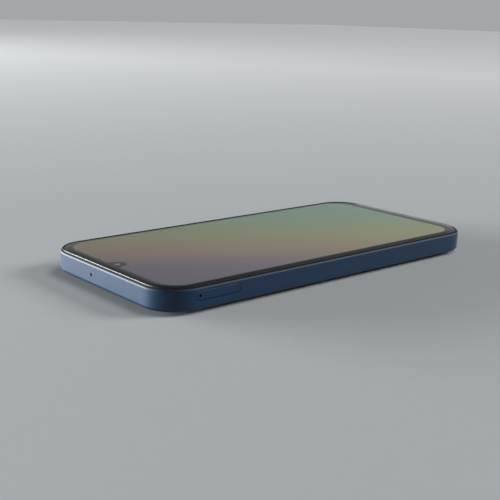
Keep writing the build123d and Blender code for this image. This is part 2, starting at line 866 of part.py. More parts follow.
def fixed_camera(centre, half_size, high_z, lens_radius):
    """Make a fixed-focus camera: its square body and the lens barrel in front."""
    with BuildPart() as camera:
        with BuildSketch(Plane.XY.offset(camera_body_z)):
            rectangle_between(*window_around(centre, half_size), 0.8)
        extrude(amount=high_z - camera_body_z)
        with BuildSketch(Plane.XY.offset(barrel_low_z)):
            with Locations(centre):
                Circle(lens_radius)
        extrude(amount=camera_body_z - barrel_low_z)
        with BuildSketch(Plane.XY.offset(barrel_low_z)):
            with Locations(centre):
                Circle(lens_radius * 0.55)
        extrude(amount=0.7, taper=25, mode=Mode.SUBTRACT)
    return camera


keep(fixed_camera(camera_centres["middle"], 4.3, 5.2, 3.0), "wide_camera")
keep(fixed_camera(camera_centres["lower"], 3.5, 4.6, 2.4), "close_up_camera")

front_body_low_z = 2.0
front_body_high_z = 5.9
front_lens_z = 7.5

with BuildPart() as front_camera:
    with BuildSketch(Plane.XY.offset(front_body_low_z)):
        rectangle_between(-3.2, 3.2, 70.2, 76.6, 0.6)
    extrude(amount=front_body_high_z - front_body_low_z)
    with BuildSketch(Plane.XY.offset(front_body_high_z)):
        with Locations((0, front_camera_y)):
            Circle(2.3)
    extrude(amount=front_lens_z - front_body_high_z)
    with BuildSketch(Plane.XY.offset(front_lens_z)):
        with Locations((0, front_camera_y)):
            Circle(1.3)
    extrude(amount=-0.5, taper=25, mode=Mode.SUBTRACT)
keep(front_camera, "front_camera")

with BuildPart() as flash_lens:
    with BuildSketch():
        with Locations(flash_centre):
            Circle(flash_radius)
    extrude(amount=cover_thickness)
keep(flash_lens, "flash_lens")

lamp_x_low, lamp_x_high, lamp_y_low, lamp_y_high = window_around(flash_centre, 1.6)
flash_lamp = block(
    (lamp_x_low, lamp_x_high),
    (lamp_y_low, lamp_y_high),
    (cover_thickness + 0.1, board_low_z),
)
keep(flash_lamp, "flash_lamp")

# ---------------------------------------------------------------- SIM tray and its ejector

# The lever's two tips stand level with its pivot halfway through the stroke. The rod
# pushes the tip beside it to +X, and the other tip drives the eject plate to -X.
tip_reach = lever_arm * math.sin(lever_swing)
plate_back_x = -7.3
push_tip_x = plate_back_x + slack + lever_tip_radius
lever_x = push_tip_x - tip_reach
rod_tip_x = lever_x - tip_reach
rod_end_x = rod_tip_x - lever_tip_radius - slack
rod_start_x = -half_width + tray_head_depth + 0.15
plate_high_y = lever_y - lever_arm * math.cos(lever_swing) + lever_tip_radius
passage_low_z = board_high_z + 0.45
passage_high_z = 5.75

with BuildPart() as sim_socket:
    with BuildSketch(Plane.XY.offset(board_high_z)):
        rectangle_between(*sim_socket_span[0], *sim_socket_span[1])
    extrude(amount=sim_socket_span[2][1] - board_high_z)
    with BuildSketch(Plane.XY.offset(passage_low_z)):
        rectangle_between(-half_width, -5.8, 48.2, 67.6)
    extrude(amount=passage_high_z - passage_low_z, mode=Mode.SUBTRACT)
    with BuildSketch(Plane.XY.offset(passage_low_z)):
        with Locations((lever_x, lever_y)):
            Circle(0.5)
    extrude(amount=passage_high_z - passage_low_z)
keep(sim_socket, "sim_socket")

# The contacts end just under the tray's plate
contact_rise = 0.07

with BuildPart() as sim_contacts:
    with BuildSketch(Plane.XY.offset(passage_low_z)):
        for card_x in (-29.6, -16.6):
            with Locations((card_x, tray_plate_y)):
                with GridLocations(7.6, 2.54, 2, 3):
                    Rectangle(2.2, 1.0)
    extrude(amount=contact_rise)
keep(sim_contacts, "sim_contacts")

tray_low_z = tray_z - tray_plate_thickness / 2
head_inner_x = -half_width + tray_head_depth
card_length = 12.3
card_width = 8.8
card_centres = ((-29.6, tray_plate_y), (-16.6, tray_plate_y))
gasket_plane = left_side.offset(0.9)

with BuildPart() as sim_tray:
    with BuildSketch(left_side):
        with Locations((tray_y, tray_z)):
            SlotOverall(tray_head_length, tray_head_height)
    extrude(amount=tray_head_depth)
    chamfer(sim_tray.faces().sort_by(Axis.X)[0].edges(), 0.1)
    # Groove round the head for its seal
    with BuildSketch(gasket_plane):
        with Locations((tray_y, tray_z)):
            SlotOverall(tray_head_length, tray_head_height)
            SlotOverall(tray_head_length - 0.6, tray_head_height - 0.6, mode=Mode.SUBTRACT)
    extrude(amount=0.5, mode=Mode.SUBTRACT)
    # Plate with a stepped pocket for each card
    with BuildSketch(Plane.XY.offset(tray_low_z)):
        rectangle_between(head_inner_x, tray_inner_x, tray_plate_low_y, tray_plate_high_y)
    extrude(amount=tray_plate_thickness)
    with BuildSketch(Plane.XY.offset(tray_low_z)):
        with Locations(*card_centres):
            Rectangle(card_length - 1.4, card_width - 1.4)
    extrude(amount=tray_plate_thickness, mode=Mode.SUBTRACT)
    with BuildSketch(Plane.XY.offset(tray_low_z + 0.2)):
        with Locations(*card_centres):
            Rectangle(card_length + 0.1, card_width + 0.1)
    extrude(amount=tray_plate_thickness, mode=Mode.SUBTRACT)
    # Pin hole through the head, in line with the ejector rod
    with BuildSketch(left_side):
        with Locations((rod_y, tray_z)):
            Circle(pin_hole_radius)
    extrude(amount=tray_head_depth, mode=Mode.SUBTRACT)
keep(sim_tray, "sim_tray")

with BuildPart() as sim_card:
    with BuildSketch(Plane.XY.offset(tray_low_z + 0.2)):
        with Locations(card_centres[0]):
            Rectangle(card_length, card_width)
        chamfer(vertices().sort_by(Axis.Y)[-2:].sort_by(Axis.X)[-1:], 1.65)
    extrude(amount=0.67)
keep(sim_card, "sim_card")

with BuildPart() as sim_tray_seal:
    with BuildSketch(gasket_plane):
        with Locations((tray_y, tray_z)):
            SlotOverall(tray_head_length + 0.08, tray_head_height + 0.08)
            SlotOverall(tray_head_length - 0.6, tray_head_height - 0.6, mode=Mode.SUBTRACT)
    extrude(amount=0.5)
keep(sim_tray_seal, "sim_tray_seal")

with BuildPart() as ejector_rod:
    with BuildSketch(Plane.YZ.offset(rod_start_x)):
        with Locations((rod_y, tray_z)):
            Circle(rod_radius)
    extrude(amount=rod_end_x - rod_start_x)
    chamfer(ejector_rod.faces().filter_by(Axis.X).edges(), 0.08)
keep(ejector_rod, "ejector_rod")

rod_tip = (rod_tip_x, lever_y + lever_arm * math.cos(lever_swing))
push_tip = (push_tip_x, lever_y - lever_arm * math.cos(lever_swing))

with BuildPart() as ejector_lever:
    with BuildSketch(Plane.XY.offset(tray_z - 0.4)):
        with Locations((lever_x, lever_y)):
            Circle(1.05)
        with Locations(rod_tip, push_tip):
            Circle(lever_tip_radius)
        for tip in (rod_tip, push_tip):
            SlotCenterPoint(
                ((lever_x + tip[0]) / 2, (lever_y + tip[1]) / 2),
                tip,
                0.6,
            )
        with Locations((lever_x, lever_y)):
            Circle(0.55, mode=Mode.SUBTRACT)
    extrude(amount=0.8)
keep(ejector_lever, "ejector_lever")

bar_back_x = -9.2

with BuildPart() as eject_plate:
    with BuildSketch(Plane.XY.offset(tray_low_z)):
        rectangle_between(tray_inner_x + slack, bar_back_x, 50.0, 64.0)
        rectangle_between(bar_back_x - 0.1, plate_back_x, 52.0, plate_high_y)
    extrude(amount=tray_plate_thickness)
keep(eject_plate, "eject_plate")

# ---------------------------------------------------------------- side keys

wall_inner_x = half_width - wall
key_outer_x = half_width + key_proud
bracket_outer_x = key_bracket_x + 0.3
flex_outer_x = bracket_outer_x + 0.15
dome_outer_x = flex_outer_x + 0.2
volume_arm = 7.5
key_low_y = power_y - power_length / 2 - 3.0
key_high_y = volume_y + volume_length / 2 + 0.5


def key_cap(centre_y, length, flange_span, nubs):
    """Make a side key: its cap through the wall, its inner flange and its nubs (y, x)."""
    flange_low_x, flange_high_x = flange_span
    with BuildPart() as key:
        with BuildSketch(Plane.YZ.offset(flange_low_x)):
            with Locations((centre_y, key_z)):
                SlotOverall(length, key_height)
        extrude(amount=key_outer_x - flange_low_x)
        fillet(key.faces().sort_by(Axis.X)[-1].edges(), 0.3)
        with BuildSketch(Plane.YZ.offset(flange_low_x)):
            with Locations((centre_y, key_z)):
                SlotOverall(length + 2 * key_flange, key_height + key_flange)
        extrude(amount=flange_high_x - flange_low_x)
        for nub_y, nub_x in nubs:
            with BuildSketch(Plane.YZ.offset(nub_x)):
                with Locations((nub_y, key_z)):
                    Circle(0.7)
            extrude(amount=flange_low_x - nub_x)
    return key


sensor_length = power_length - 1.6
sensor_height = key_height - 0.9
sensor_depth = 0.25
power_flange = (35.0, wall_inner_x - 0.03)
power_nub = (power_y, dome_outer_x + power_travel + 0.04)

with BuildPart() as power_button:
    add(key_cap(power_y, power_length, power_flange, [power_nub]).part)
    with BuildSketch(Plane.YZ.offset(key_outer_x)):
        with Locations((power_y, key_z)):
            SlotOverall(sensor_length + 0.04, sensor_height + 0.04)
    extrude(amount=-sensor_depth, mode=Mode.SUBTRACT)
keep(power_button, "power_button")

with BuildPart() as fingerprint_sensor:
    with BuildSketch(Plane.YZ.offset(key_outer_x - sensor_depth)):
        with Locations((power_y, key_z)):
            SlotOverall(sensor_length, sensor_height)
    extrude(amount=sensor_depth - 0.04)
keep(fingerprint_sensor, "fingerprint_sensor")

rocker_flange = (34.8, wall_inner_x - 0.4)
rocker_nub_x = dome_outer_x + 0.25
rocker_nubs = [(volume_y + side * volume_arm, rocker_nub_x) for side in (-1, 1)]
pivot_radius = 0.42
ridge_length = 2.4
pivot_x = bracket_outer_x + 0.2 + pivot_radius

with BuildPart() as volume_rocker:
    add(key_cap(volume_y, volume_length, rocker_flange, rocker_nubs).part)
    # Round ridge that the rocker tips on
    with BuildSketch(Plane.XY.offset(key_z - ridge_length / 2)):
        with Locations((pivot_x, volume_y)):
            Circle(pivot_radius)
        rectangle_between(
            pivot_x,
            rocker_flange[0] + 0.1,
            volume_y - pivot_radius,
            volume_y + pivot_radius,
        )
    extrude(amount=ridge_length)
keep(volume_rocker, "volume_rocker")

side_key_bracket = block((key_bracket_x, bracket_outer_x), (key_low_y, key_high_y), (2.4, 6.0))
keep(side_key_bracket, "side_key_bracket")

side_key_flex = block((bracket_outer_x, flex_outer_x), (key_low_y, key_high_y), (2.7, 5.7))
keep(side_key_flex, "side_key_flex")

with BuildPart() as key_domes:
    with BuildSketch(Plane.YZ.offset(flex_outer_x)):
        with Locations(
            (power_y, key_z),
            (volume_y - volume_arm, key_z),
            (volume_y + volume_arm, key_z),
        ):
            Circle(1.4)
    extrude(amount=dome_outer_x - flex_outer_x)
keep(key_domes, "key_domes")
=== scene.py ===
import math

import bmesh
import bpy
from mathutils import Matrix, Vector


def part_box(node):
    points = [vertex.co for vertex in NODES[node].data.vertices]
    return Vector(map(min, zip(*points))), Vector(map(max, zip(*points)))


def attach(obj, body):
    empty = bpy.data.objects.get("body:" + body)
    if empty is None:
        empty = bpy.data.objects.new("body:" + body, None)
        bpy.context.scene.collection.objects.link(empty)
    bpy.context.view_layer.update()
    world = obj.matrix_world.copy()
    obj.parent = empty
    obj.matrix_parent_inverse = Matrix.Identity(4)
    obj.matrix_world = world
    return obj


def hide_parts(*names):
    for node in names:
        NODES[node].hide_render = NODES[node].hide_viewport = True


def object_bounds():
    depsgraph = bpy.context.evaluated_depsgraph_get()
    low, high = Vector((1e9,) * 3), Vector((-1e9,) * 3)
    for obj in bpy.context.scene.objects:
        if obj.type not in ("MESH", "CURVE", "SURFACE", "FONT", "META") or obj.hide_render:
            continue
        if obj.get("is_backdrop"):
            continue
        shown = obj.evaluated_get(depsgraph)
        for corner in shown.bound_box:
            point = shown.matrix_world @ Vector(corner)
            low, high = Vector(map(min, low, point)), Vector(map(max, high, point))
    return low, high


# A smartphone lying on its back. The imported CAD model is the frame: its nodes get procedural
# materials, and small mesh pieces add what it lacks, such as trim, lenses, meshes and chips.

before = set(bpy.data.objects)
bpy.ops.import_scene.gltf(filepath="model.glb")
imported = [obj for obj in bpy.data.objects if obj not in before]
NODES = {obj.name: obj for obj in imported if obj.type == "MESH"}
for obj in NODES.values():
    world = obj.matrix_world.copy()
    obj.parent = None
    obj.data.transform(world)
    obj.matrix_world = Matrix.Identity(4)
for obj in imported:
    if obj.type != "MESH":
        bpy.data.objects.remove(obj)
cad_low, cad_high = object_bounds()

MM = 0.001
CAMERA_SITES = ("upper", "middle", "lower")


# ---------------------------------------------------------------- places taken from the frame

def middle(node):
    """The centre of a CAD node's box."""
    low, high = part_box(node)
    return (low + high) / 2


def toward(azimuth, elevation):
    """The unit direction at an azimuth from +X and an elevation from the floor."""
    level = math.cos(elevation)
    return Vector((level * math.cos(azimuth), level * math.sin(azimuth), math.sin(elevation)))


FRAME_LOW, FRAME_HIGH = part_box("side_frame")
GLASS_LOW, GLASS_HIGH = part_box("cover_glass")
BOARD_LOW, BOARD_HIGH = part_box("main_board")
FRONT_CAMERA = middle("front_camera")
FLASH = middle("flash_lens")


# ---------------------------------------------------------------- materials

class Paint:
    """A procedural material. Each method adds nodes and gives back the output to use next."""

    def __init__(self, name, **values):
        self.material = bpy.data.materials.new(name)
        self.material.use_nodes = True
        self.tree = self.material.node_tree
        self.shader = self.tree.nodes["Principled BSDF"]
        self.set(**values)

    def set(self, **values):
        """Set shader sockets: a plain value on the socket itself, an output as a link."""
        for key, value in values.items():
            self.put(self.shader.inputs[key.replace("_", " ")], value)

    def put(self, socket, value):
        """Link an output to a socket, or set a plain value on it."""
        if isinstance(value, bpy.types.NodeSocket):
            self.tree.links.new(value, socket)
        elif socket.type == "RGBA":
            socket.default_value = (*value[:3], 1.0)
        else:
            socket.default_value = value

    def node(self, kind, **settings):
        """Add a shader node of a kind, with its settings."""
        made = self.tree.nodes.new("ShaderNode" + kind)
        for key, value in settings.items():
            setattr(made, key, value)
        return made

    def place(self, centre=(0, 0, 0), scale=(1, 1, 1)):
        """Position on the object from a centre, in metres, scaled along each axis."""
        mapping = self.node("Mapping")
        self.put(mapping.inputs["Vector"], self.node("TexCoord").outputs["Object"])
        mapping.inputs["Location"].default_value = [-c * s for c, s in zip(centre, scale)]
        mapping.inputs["Scale"].default_value = scale
        return mapping.outputs["Vector"]

    def axes(self, vector=None):
        """The X, Y and Z of a position."""
        split = self.node("SeparateXYZ")
        self.put(split.inputs[0], vector or self.place())
        return split.outputs["X"], split.outputs["Y"], split.outputs["Z"]

    def maths(self, operation, *values):
        """The result of a Math node."""
        made = self.node("Math", operation=operation)
        for socket, value in zip(made.inputs, values):
            self.put(socket, value)
        return made.outputs[0]

    def length(self, *values):
        """The length of a vector given by two or three numbers."""
        squares = [self.maths("MULTIPLY", value, value) for value in values]
        total = squares[0]
        for square in squares[1:]:
            total = self.maths("ADD", total, square)
        return self.maths("SQRT", total)

    def spread(self, value, low, high, new_low=0.0, new_high=1.0):
        """Map a range of values onto another, held at its ends."""
        made = self.node("MapRange")
        for socket, number in zip(made.inputs, (value, low, high, new_low, new_high)):
            self.put(socket, number)
        return made.outputs["Result"]

    def blend(self, factor, first, second):
        """Blend two colours by a factor."""
        made = self.node("Mix", data_type="RGBA")
        # The two colours come after the node's number and vector sockets
        factor_socket, first_socket, second_socket = (made.inputs[i] for i in (0, 6, 7))
        self.put(factor_socket, factor)
        self.put(first_socket, first)
        self.put(second_socket, second)
        return made.outputs[2]

    def ramp(self, factor, stops):
        """Blend through several colours, each given with its place from 0 to 1."""
        made = self.node("ValToRGB")
        self.put(made.inputs["Fac"], factor)
        elements = made.color_ramp.elements
        while len(elements) < len(stops):
            elements.new(0.5)
        for element, (place, colour) in zip(elements, stops):
            element.position = place
            element.color = (*colour, 1.0)
        return made.outputs["Color"]

    def noise(self, scale, detail=2.0, roughness=0.5, vector=None):
        """Cloudy noise from 0 to 1, with this many cells in a metre."""
        made = self.node("TexNoise")
        self.put(made.inputs["Vector"], vector or self.place())
        made.inputs["Scale"].default_value = scale
        made.inputs["Detail"].default_value = detail
        made.inputs["Roughness"].default_value = roughness
        return made.outputs["Fac"]

    def stripes(self, pitch, axis="X", distortion=0.0):
        """Smooth stripes that repeat along an axis at a pitch in metres."""
        made = self.node("TexWave", wave_type="BANDS", bands_direction=axis)
        self.put(made.inputs["Vector"], self.place())
        # At a scale of 1 the wave repeats every pi / 10
        made.inputs["Scale"].default_value = math.pi / 10 / pitch
        made.inputs["Distortion"].default_value = distortion
        return made.outputs["Fac"]

    def bump(self, height, strength, distance):
        """Raise the surface by a height from 0 to 1, over a distance in metres."""
        made = self.node("Bump")
        self.put(made.inputs["Height"], height)
        made.inputs["Strength"].default_value = strength
        made.inputs["Distance"].default_value = distance
        self.set(Normal=made.outputs["Normal"])


def dress(material, *nodes):
    """Give CAD nodes a material."""
    for name in nodes:
        slots = NODES[name].data.materials
        slots.clear()
        slots.append(material)


NAVY_DEEP = (0.0024, 0.0235, 0.066)
NAVY_LIGHT = (0.0038, 0.0305, 0.082)
# Painted shade: the darker navy of the rounded rim, and the black of its lip beside the glass
NAVY_PAINTED_SHADE = (0.003, 0.012, 0.028)
LIP_PAINTED_SHADE = (0.002, 0.002, 0.003)
BARE_PLASTIC = (0.016, 0.016, 0.018)
INK = (0.0035, 0.0035, 0.0045)
# Heights over which painted shade turns the frame's paint darker on the rounded rim, and black on
# its lip
RIM_FADE = (FRAME_HIGH.z - 0.80 * MM, FRAME_HIGH.z - 0.50 * MM)
LIP_FADE = (FRAME_HIGH.z - 0.16 * MM, FRAME_HIGH.z - 0.08 * MM)
# Where the painted head of the SIM tray ends
TRAY_HEAD_FADE = (FRAME_LOW.x + 1.85 * MM, FRAME_LOW.x + 1.95 * MM)


def navy_coat(name):
    """Start a satin navy paint. Gives it with its mottled colour and grainy roughness."""
    paint = Paint(name, IOR=1.45, Metallic=0.1)
    colour = paint.blend(paint.noise(700, detail=3.0), NAVY_DEEP, NAVY_LIGHT)
    grain = paint.noise(9000, detail=2.0)
    paint.bump(grain, 0.12, 0.02 * MM)
    return paint, colour, paint.spread(grain, 0.3, 0.7, 0.36, 0.44)


def frame_paint():
    """Satin navy paint, duller on the rounded rim, where painted shade darkens it unevenly and
    turns its lip black.
    """
    paint, colour, satin = navy_coat("frame_navy_paint")
    height = paint.axes()[2]
    rim = paint.spread(height, *RIM_FADE)
    lip = paint.spread(height, *LIP_FADE)
    # Painted shade: the rim darkens in uneven patches, and the lip turns black like the shaded gap
    # by the glass
    patches = paint.spread(paint.noise(1500, detail=4.0), 0.42, 0.62, 0.5, 1.0)
    rim_painted_shade = paint.blend(paint.maths("MULTIPLY", rim, patches), colour, NAVY_PAINTED_SHADE)
    paint.set(Base_Color=paint.blend(lip, rim_painted_shade, LIP_PAINTED_SHADE))
    duller = paint.maths("MULTIPLY_ADD", rim, 0.20, satin)
    paint.set(Roughness=paint.maths("MULTIPLY_ADD", lip, 0.45, duller))
    return paint.material


def tray_paint():
    """The tray's head is painted like the frame, and its plate is bare black plastic."""
    paint, colour, satin = navy_coat("sim_tray_finish")
    head = paint.spread(paint.axes()[0], *TRAY_HEAD_FADE)
    paint.set(Base_Color=paint.blend(head, colour, BARE_PLASTIC), Roughness=satin)
    return paint.material


def cover_paint():
    """Smooth navy cover: fine metallic flakes under a clear coat with a few faint smudges."""
    paint = Paint("rear_cover_paint", IOR=1.5, Coat_Weight=0.6, Coat_Roughness=0.08)
    drift = paint.noise(18, detail=1.0)
    flake = paint.spread(paint.noise(5200, detail=1.0), 0.52, 0.74)
    base = paint.blend(drift, (0.006, 0.023, 0.075), (0.010, 0.034, 0.105))
    paint.set(Base_Color=paint.blend(flake, base, (0.020, 0.052, 0.14)))
    smudge = paint.noise(45, detail=5.0, roughness=0.62)
    paint.set(Roughness=paint.spread(smudge, 0.35, 0.75, 0.26, 0.42))
    return paint.material


# The display as it shows through the glass: its outline, its notch and the lens in the notch
SCREEN_MIDDLE_Y = 0.9 * MM
SCREEN_HALF_WIDTH = 34.5 * MM
SCREEN_HALF_LENGTH = 74.3 * MM
SCREEN_CORNER = 9.0 * MM
NOTCH_RADIUS = 3.3 * MM
NOTCH_BLEND = 3.0 * MM
LENS_SPOT_RADIUS = 1.0 * MM
SOFT_EDGE = 0.12 * MM
# Its painted reflection, a tinted sheen: colours along a slanting line that drifts a little,
# brighter to the bottom end
SHEEN_SLANT = 1.6
SHEEN_DRIFT = 6 * MM
SHEEN_REACH = 125 * MM
SHEEN_END_Y = 75 * MM
SHEEN_GAIN = (1.12, 2.05)
SHEEN_COLOURS = (
    (0.00, (0.070, 0.066, 0.092)),
    (0.18, (0.082, 0.062, 0.086)),
    (0.34, (0.134, 0.098, 0.064)),
    (0.50, (0.122, 0.118, 0.060)),
    (0.66, (0.090, 0.122, 0.066)),
    (0.84, (0.064, 0.120, 0.076)),
    (1.00, (0.074, 0.104, 0.084)),
)
# The front camera's lens is painted as a grey spot, whose paleness is a painted reflection
LENS_SPOT_REFLECTION_GREY = (0.16, 0.16, 0.175)
# The ground edge of the glass: how far in from its outline, and how high, it turns rough
GLASS_CORNER = 11.84 * MM
GROUND_EDGE_FADE = (-0.50 * MM, -0.36 * MM)
GROUND_TOP_FADE = (GLASS_HIGH.z - 0.33 * MM, GLASS_HIGH.z - 0.30 * MM)


def outside_rectangle(paint, x, y, half_width, half_length, corner):
    """Distance outside a rounded rectangle, in metres, and less than zero inside it."""
    across = paint.maths("SUBTRACT", paint.maths("ABSOLUTE", x), half_width - corner)
    along = paint.maths("SUBTRACT", paint.maths("ABSOLUTE", y), half_length - corner)
    outer = paint.length(paint.maths("MAXIMUM", across, 0.0), paint.maths("MAXIMUM", along, 0.0))
    inner = paint.maths("MINIMUM", paint.maths("MAXIMUM", across, along), 0.0)
    return paint.maths("SUBTRACT", paint.maths("ADD", outer, inner), corner)


def outside_screen(paint, x, y):
    """Distance outside the lit screen: a rounded rectangle less a U-shaped notch, in metres."""
    from_middle = paint.maths("SUBTRACT", y, SCREEN_MIDDLE_Y)
    half_size = (SCREEN_HALF_WIDTH, SCREEN_HALF_LENGTH)
    rectangle = outside_rectangle(paint, x, from_middle, *half_size, SCREEN_CORNER)
    below = paint.maths("MINIMUM", paint.maths("SUBTRACT", y, FRONT_CAMERA.y), 0.0)
    notch = paint.maths("SUBTRACT", NOTCH_RADIUS, paint.length(x, below))
    return paint.maths("SMOOTH_MAX", rectangle, notch, NOTCH_BLEND)


def bonded_glass():
    """Cover glass bonded to its display: black border, a lens spot made pale by painted reflection,
    and a soft gradient of painted reflection.
    """
    glass = Paint("cover_glass_bonded", IOR=1.52)
    x, y, z = glass.axes()
    screen = glass.spread(outside_screen(glass, x, y), SOFT_EDGE, -SOFT_EDGE)
    # Painted reflection: a tinted sheen across the dark screen, brighter to the bottom end
    slant = glass.maths("SUBTRACT", glass.maths("MULTIPLY", x, SHEEN_SLANT), y)
    drift = glass.spread(glass.noise(22, detail=2.0), 0.3, 0.7, -SHEEN_DRIFT, SHEEN_DRIFT)
    position = glass.spread(glass.maths("ADD", slant, drift), -SHEEN_REACH, SHEEN_REACH)
    painted_sheen = glass.node("VectorMath", operation="SCALE")
    glass.put(painted_sheen.inputs[0], glass.ramp(position, SHEEN_COLOURS))
    gain = glass.spread(y, SHEEN_END_Y, -SHEEN_END_Y, *SHEEN_GAIN)
    glass.put(painted_sheen.inputs["Scale"], gain)
    colour = glass.blend(screen, INK, painted_sheen.outputs["Vector"])
    # The lens painted in as a pale spot: its paleness is a painted reflection
    to_lens = glass.length(x, glass.maths("SUBTRACT", y, FRONT_CAMERA.y))
    spot = glass.spread(to_lens, LENS_SPOT_RADIUS + SOFT_EDGE, LENS_SPOT_RADIUS - SOFT_EDGE)
    glass.set(Base_Color=glass.blend(spot, colour, LENS_SPOT_REFLECTION_GREY))
    smudge = glass.noise(48, detail=5.0, roughness=0.6)
    polish = glass.spread(smudge, 0.35, 0.75, 0.035, 0.10)
    from_edge = outside_rectangle(glass, x, y, GLASS_HIGH.x, GLASS_HIGH.y, GLASS_CORNER)
    border = glass.spread(from_edge, *GROUND_EDGE_FADE)
    ground = glass.spread(z, *GROUND_TOP_FADE, 0.12, 0.82)
    glass.set(Roughness=glass.maths("MULTIPLY_ADD", border, ground, polish))
    return glass.material


def clear_glass(name, tint=(1, 1, 1), ior=1.5):
    """Polished clear glass or plastic with a faint uneven haze."""
    glass = Paint(name, IOR=ior, Transmission_Weight=1.0)
    haze = glass.noise(320, detail=3.0)
    glass.set(Base_Color=glass.blend(haze, tint, [c * 0.94 for c in tint]))
    glass.set(Roughness=glass.spread(haze, 0.4, 0.8, 0.01, 0.05))
    return glass.material


def turned_metal(name, centre, colour):
    """Anodised metal with the fine concentric marks of a lathe."""
    metal = Paint(name, Metallic=1.0)
    x, y, _ = metal.axes(metal.place(centre))
    radius = metal.length(x, y)
    marks = metal.maths("SINE", metal.maths("MULTIPLY", radius, 2 * math.pi / (0.09 * MM)))
    speck = metal.noise(3000, detail=2.0)
    metal.set(Base_Color=metal.blend(speck, colour, [c * 0.7 for c in colour]))
    metal.set(Roughness=metal.spread(speck, 0.3, 0.7, 0.22, 0.34))
    metal.bump(metal.spread(marks, -1, 1), 0.25, 0.01 * MM)
    return metal.material


def sheet_metal(name, colour, roughness, direction=(1, 0.05, 1), grain_scale=2600):
    """Stamped sheet metal with faint rolling marks along one direction."""
    metal = Paint(name, Metallic=1.0)
    marks = metal.noise(grain_scale, detail=3.0, vector=metal.place(scale=direction))
    cloud = metal.noise(160, detail=2.0)
    shade = metal.maths("MULTIPLY_ADD", marks, 0.6, metal.maths("MULTIPLY", cloud, 0.4))
    metal.set(Base_Color=metal.blend(shade, [c * 0.72 for c in colour], colour))
    metal.set(Roughness=metal.spread(shade, 0.3, 0.7, roughness, roughness + 0.16))
    metal.bump(marks, 0.2, 0.01 * MM)
    return metal.material


def cast_metal():
    """Die-cast plate with a grainy skin and a faint flow pattern."""
    metal = Paint("cast_magnesium", Metallic=0.85)
    flow = metal.noise(60, detail=4.0, roughness=0.65)
    grain = metal.noise(2200, detail=3.0)
    metal.set(Base_Color=metal.blend(flow, (0.34, 0.35, 0.36), (0.50, 0.51, 0.52)))
    metal.set(Roughness=metal.spread(grain, 0.3, 0.7, 0.42, 0.60))
    metal.bump(grain, 0.35, 0.03 * MM)
    return metal.material


def moulded_plastic(name, colour, roughness=0.5, texture=3800, relief=0.3):
    """Moulded plastic with a fine spark-eroded texture, or paint where the relief is low."""
    plastic = Paint(name, IOR=1.49)
    grain = plastic.noise(texture, detail=2.0)
    tone = plastic.noise(90, detail=2.0)
    plastic.set(Base_Color=plastic.blend(tone, colour, [c * 1.35 for c in colour]))
    plastic.set(Roughness=plastic.spread(grain, 0.3, 0.7, roughness - 0.07, roughness + 0.08))
    plastic.bump(grain, relief, 0.02 * MM)
    return plastic.material


def soft_rubber(name, colour, pores, roughness=0.75):
    """Rubber or foam with open pores."""
    rubber = Paint(name, IOR=1.45)
    cells = rubber.node("TexVoronoi")
    rubber.put(cells.inputs["Vector"], rubber.place())
    cells.inputs["Scale"].default_value = pores
    pore = rubber.spread(cells.outputs["Distance"], 0.1, 0.6)
    rubber.set(Base_Color=rubber.blend(pore, [c * 0.5 for c in colour], colour))
    rubber.set(Roughness=rubber.spread(pore, 0.0, 1.0, roughness, roughness + 0.15))
    rubber.bump(pore, 0.4, 0.04 * MM)
    return rubber.material


def circuit_board():
    """Dark green solder mask over raised copper tracks, with small bare gold pads."""
    board = Paint("circuit_board", IOR=1.5)
    cells = board.node("TexVoronoi", distance="CHEBYCHEV", feature="F1")
    board.put(cells.inputs["Vector"], board.place(scale=(1, 1, 0.01)))
    cells.inputs["Scale"].default_value = 420
    tracks = board.spread(board.stripes(0.42 * MM, axis="DIAGONAL", distortion=1.5), 0.62, 0.72)
    pads = board.spread(cells.outputs["Distance"], 0.17, 0.13)
    mask = board.blend(tracks, (0.004, 0.030, 0.018), (0.008, 0.058, 0.032))
    board.set(Base_Color=board.blend(pads, mask, (0.72, 0.50, 0.18)))
    board.set(Metallic=board.spread(pads, 0.2, 0.8, 0.0, 1.0))
    board.set(Roughness=board.spread(tracks, 0.0, 1.0, 0.38, 0.28))
    board.bump(board.maths("MAXIMUM", tracks, pads), 0.3, 0.02 * MM)
    return board.material


def flexible_circuit(name, axis):
    """Thin black-brown film with copper tracks that repeat along an axis."""
    film = Paint(name, IOR=1.5, Coat_Weight=0.3)
    tracks = film.spread(film.stripes(0.45 * MM, axis=axis), 0.45, 0.65)
    film.set(Base_Color=film.blend(tracks, (0.030, 0.020, 0.010), (0.12, 0.052, 0.018)))
    film.set(Roughness=film.spread(film.noise(500, detail=2.0), 0.3, 0.7, 0.28, 0.42))
    film.bump(tracks, 0.3, 0.02 * MM)
    return film.material


def foil_pouch():
    """Battery pouch: dark laminated foil, slightly wrinkled."""
    foil = Paint("battery_foil_pouch", Metallic=0.55, Coat_Weight=0.4, Coat_Roughness=0.2)
    wrinkle = foil.noise(70, detail=5.0, roughness=0.6)
    fine = foil.noise(1100, detail=2.0)
    foil.set(Base_Color=foil.blend(wrinkle, (0.035, 0.036, 0.040), (0.062, 0.064, 0.070)))
    foil.set(Roughness=foil.spread(fine, 0.3, 0.7, 0.30, 0.44))
    foil.bump(foil.maths("MULTIPLY_ADD", fine, 0.08, wrinkle), 0.35, 0.12 * MM)
    return foil.material


def coax_finish():
    """Black cable jacket between two gold snap plugs."""
    low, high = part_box("antenna_coax")
    cable = Paint("antenna_coax_finish", IOR=1.48)
    _, y, _ = cable.axes()
    plug_length = 2.3 * MM
    lower = cable.spread(y, low.y + plug_length, low.y + plug_length - 0.1 * MM)
    upper = cable.spread(y, high.y - plug_length, high.y - plug_length + 0.1 * MM)
    plug = cable.maths("MAXIMUM", lower, upper)
    tone = cable.noise(900, detail=2.0)
    jacket = cable.blend(tone, (0.014, 0.014, 0.015), (0.024, 0.024, 0.026))
    cable.set(Base_Color=cable.blend(plug, jacket, (0.80, 0.58, 0.25)))
    cable.set(Metallic=plug)
    cable.set(Roughness=cable.spread(tone, 0.3, 0.7, 0.34, 0.46))
    return cable.material


